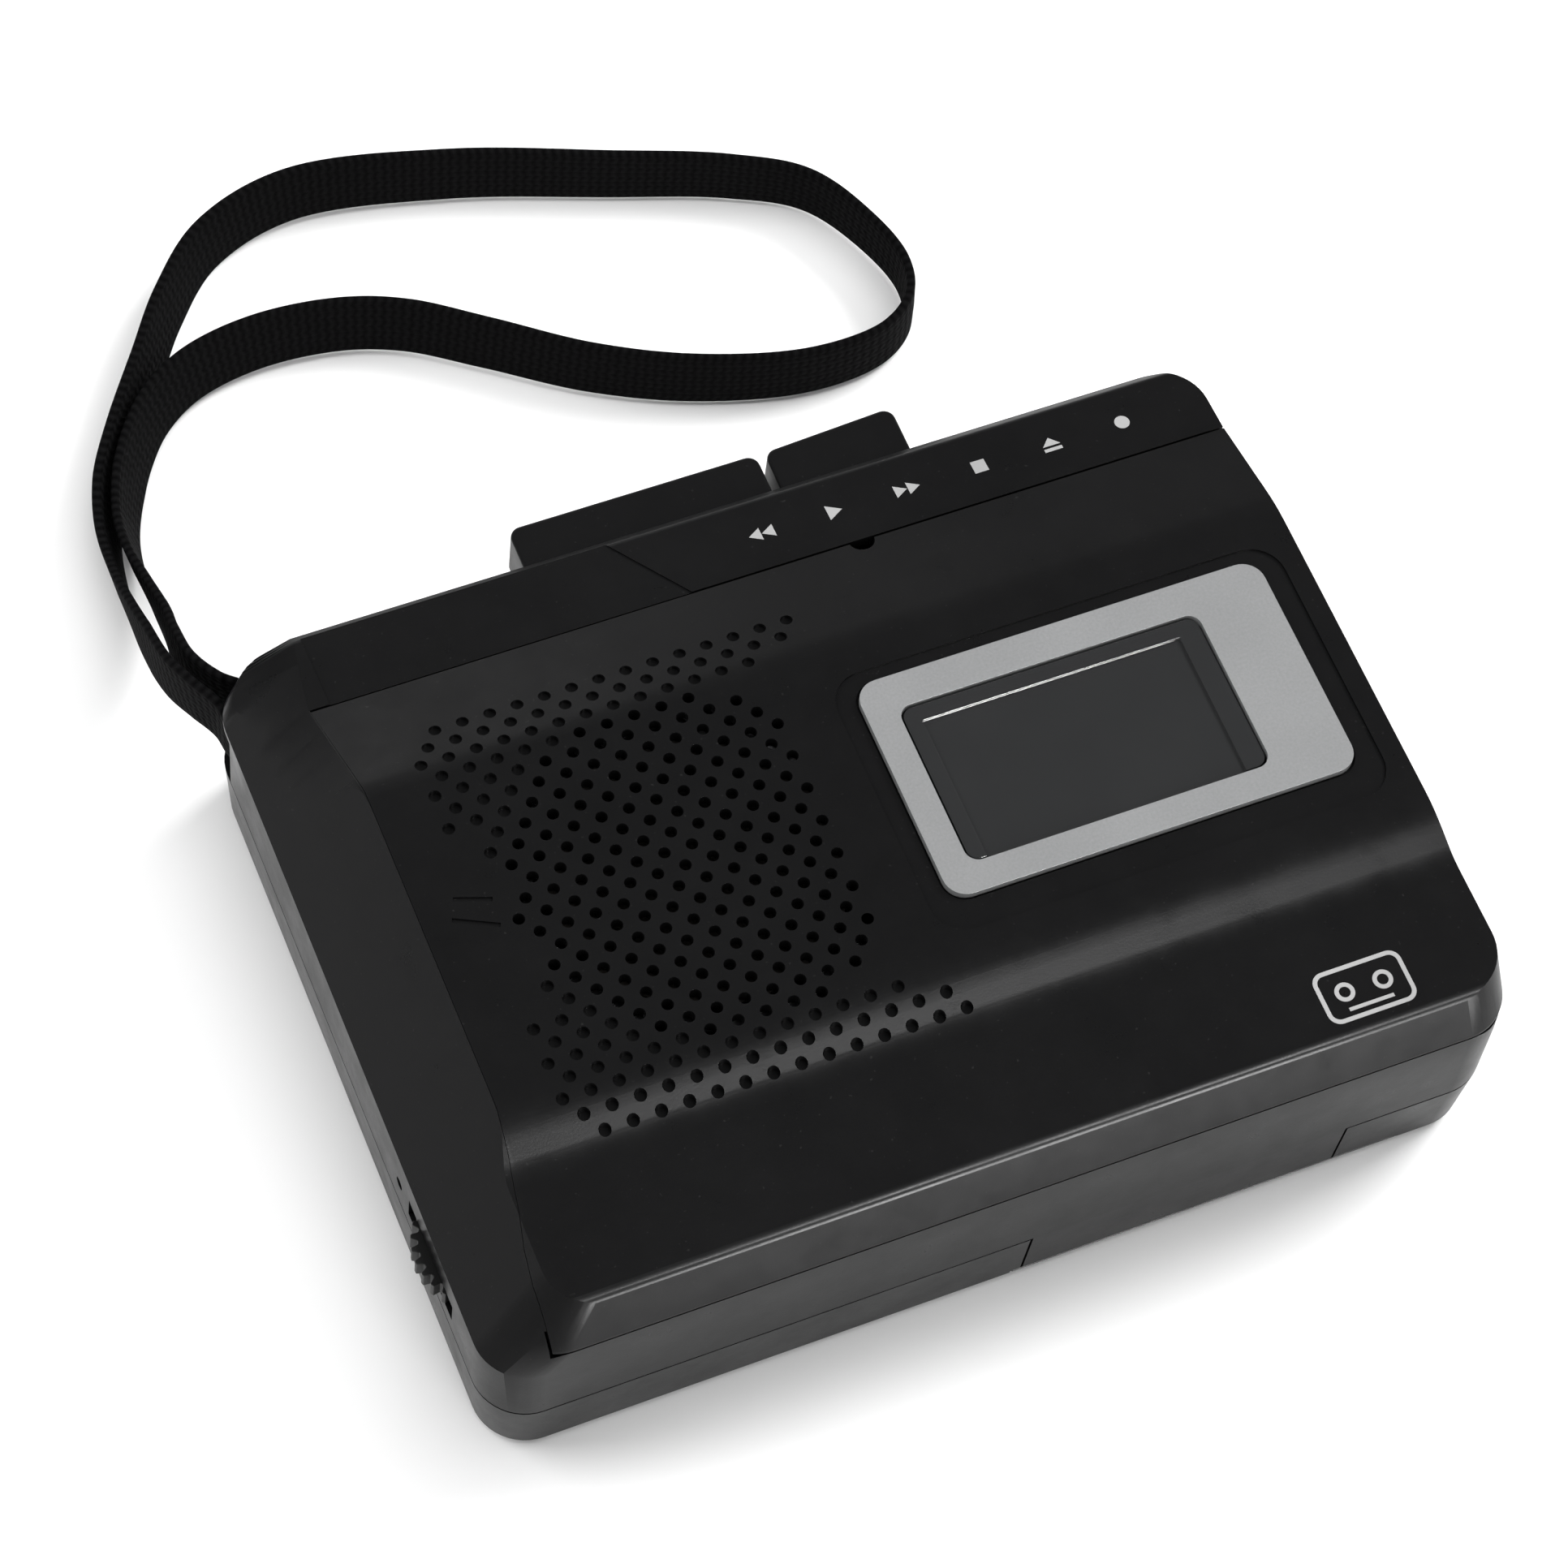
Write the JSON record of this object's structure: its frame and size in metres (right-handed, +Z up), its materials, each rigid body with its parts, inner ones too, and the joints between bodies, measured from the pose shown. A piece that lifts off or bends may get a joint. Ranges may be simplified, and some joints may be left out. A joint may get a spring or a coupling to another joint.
{
  "type": "portable cassette recorder",
  "caption": "Flat pocket cassette recorder lying on its back: hinged lid with a speaker grille and silver-framed window, edge keys, thumbwheel and wrist strap.",
  "frame": {"origin": "centre of the flat underside", "axes": "+X to the right along the long side, +Y towards the edge with the keys, +Z up out of the face with the window and grille"},
  "size_m": [0.1238, 0.1619, 0.0319],
  "materials": {
    "case_plastic": "black moulded plastic, satin with a fine grain",
    "dark_plastic": "black moulded plastic, matte",
    "silver_frame": "silver, fine-grained satin",
    "clear_window": "smoke-tinted clear plastic, polished",
    "zinc_plate": "plated steel sheet, dull",
    "steel": "bright steel",
    "speaker_paper": "pressed black paper",
    "rubber": "black rubber, matte",
    "brass": "turned brass",
    "white_plastic": "off-white acetal",
    "board": "green laminate",
    "strap_webbing": "black woven webbing"
  },
  "bodies": {
    "case": {"front_shell": "case_plastic", "rear_cover": "case_plastic", "chassis_plate": "zinc_plate", "cassette_tray": "dark_plastic", "cassette_ledge": "dark_plastic", "capstan_bearing": "brass", "idler_post": "steel", "motor": "zinc_plate", "drive_belt": "rubber", "pinch_post": "steel", "key_spring_comb": "steel", "circuit_board": "board", "volume_pot": "zinc_plate", "microphone": "zinc_plate", "earphone_jack": "dark_plastic", "microphone_jack": "dark_plastic", "power_jack": "dark_plastic", "battery_spring_front": "steel", "battery_spring_rear": "steel", "battery_plate_front": "steel", "battery_plate_rear": "steel", "case_screw_1": "steel", "case_screw_2": "steel", "case_screw_3": "steel", "case_screw_4": "steel", "strap_pin": "steel", "wrist_strap": "strap_webbing", "hinge_pin_left": "steel", "hinge_pin_right": "steel"},
    "lid": {"lid_shell": "case_plastic", "window_frame": "silver_frame", "window_pane": "clear_window", "speaker_basket": "zinc_plate", "speaker_cone": "speaker_paper", "speaker_magnet": "zinc_plate", "cassette_spring_left": "steel", "cassette_spring_right": "steel"},
    "door": {"battery_door": "case_plastic"},
    "capstan": {"capstan_shaft": "steel", "flywheel": "zinc_plate"},
    "idler": {"idler_gear": "white_plastic"},
    "takeup_reel": {"takeup_spindle": "white_plastic", "takeup_gear": "white_plastic"},
    "supply_reel": {"supply_spindle": "white_plastic", "supply_gear": "white_plastic"},
    "motor_rotor": {"motor_pulley": "brass"},
    "head_carriage": {"head_plate": "zinc_plate", "record_play_head": "steel", "erase_head": "dark_plastic"},
    "pinch_lever": {"pinch_arm": "zinc_plate"},
    "pinch_wheel": {"pinch_roller": "rubber"},
    "play": {"play_key": "case_plastic"},
    "stop_eject": {"stop_eject_key": "case_plastic"},
    "rewind": {"rewind_key": "case_plastic"},
    "fast_forward": {"fast_forward_key": "case_plastic"},
    "record": {"record_key": "case_plastic"},
    "latch": {"eject_latch": "dark_plastic"},
    "volume": {"volume_wheel": "dark_plastic"}
  },
  "joints": [
    {"name": "lid_hinge", "type": "hinge", "parent": "case", "child": "lid", "pos_m": [0, -0.0429, 0.0239], "axis": [1, 0, 0], "range_deg": [0, 75]},
    {"name": "door_slide", "type": "slide", "parent": "case", "child": "door", "axis": [0, -1, 0], "range_m": [0, 0.022]},
    {"name": "capstan_spin", "type": "hinge", "parent": "case", "child": "capstan", "pos_m": [-0.019, 0.0278, 0], "axis": [0, 0, 1], "continuous": true},
    {"name": "idler_spin", "type": "hinge", "parent": "case", "child": "idler", "pos_m": [-0.01817, 0.01758, 0], "axis": [0, 0, 1], "continuous": true},
    {"name": "takeup_spin", "type": "hinge", "parent": "case", "child": "takeup_reel", "pos_m": [-0.01675, 0, 0], "axis": [0, 0, 1], "continuous": true},
    {"name": "supply_spin", "type": "hinge", "parent": "case", "child": "supply_reel", "pos_m": [0.02575, 0, 0], "axis": [0, 0, 1], "continuous": true},
    {"name": "motor_spin", "type": "hinge", "parent": "case", "child": "motor_rotor", "pos_m": [0.025, 0.03, 0], "axis": [0, 0, 1], "continuous": true},
    {"name": "play_key_slide", "type": "slide", "parent": "case", "child": "play", "axis": [0, -1, 0], "range_m": [0, 0.004], "stiffness_N_per_m": 250, "springref_m": -0.002},
    {"name": "head_slide", "type": "slide", "parent": "case", "child": "head_carriage", "axis": [0, -1, 0], "range_m": [0, 0.004]},
    {"name": "pinch_swing", "type": "hinge", "parent": "case", "child": "pinch_lever", "pos_m": [-0.034, 0.0372, 0], "axis": [0, 0, -1], "range_deg": [0, 21.2]},
    {"name": "pinch_spin", "type": "hinge", "parent": "pinch_lever", "child": "pinch_wheel", "pos_m": [-0.019, 0.0386, 0], "axis": [0, 0, 1], "continuous": true},
    {"name": "stop_eject_key_slide", "type": "slide", "parent": "case", "child": "stop_eject", "axis": [0, -1, 0], "range_m": [0, 0.004], "stiffness_N_per_m": 250, "springref_m": -0.002},
    {"name": "rewind_key_slide", "type": "slide", "parent": "case", "child": "rewind", "axis": [0, -1, 0], "range_m": [0, 0.004], "stiffness_N_per_m": 250, "springref_m": -0.002},
    {"name": "fast_forward_key_slide", "type": "slide", "parent": "case", "child": "fast_forward", "axis": [0, -1, 0], "range_m": [0, 0.004], "stiffness_N_per_m": 250, "springref_m": -0.002},
    {"name": "record_key_slide", "type": "slide", "parent": "case", "child": "record", "axis": [0, -1, 0], "range_m": [0, 0.004], "stiffness_N_per_m": 250, "springref_m": -0.002},
    {"name": "latch_slide", "type": "slide", "parent": "case", "child": "latch", "axis": [0, 1, 0], "range_m": [0, 0.0016]},
    {"name": "volume_turn", "type": "hinge", "parent": "case", "child": "volume", "pos_m": [-0.0543, -0.0262, 0], "axis": [0, 0, 1], "range_deg": [-135, 135]}
  ],
  "couplings": [
    {"joint": "idler_spin", "follows": "capstan_spin", "ratio": -0.5625},
    {"joint": "takeup_spin", "follows": "capstan_spin", "ratio": 0.33333},
    {"joint": "motor_spin", "follows": "capstan_spin", "ratio": 4.6},
    {"joint": "head_slide", "follows": "play_key_slide", "ratio": 1},
    {"joint": "pinch_swing", "follows": "play_key_slide", "rad_per_m": 92.1},
    {"joint": "latch_slide", "follows": "stop_eject_key_slide", "ratio": 0.4}
  ]
}
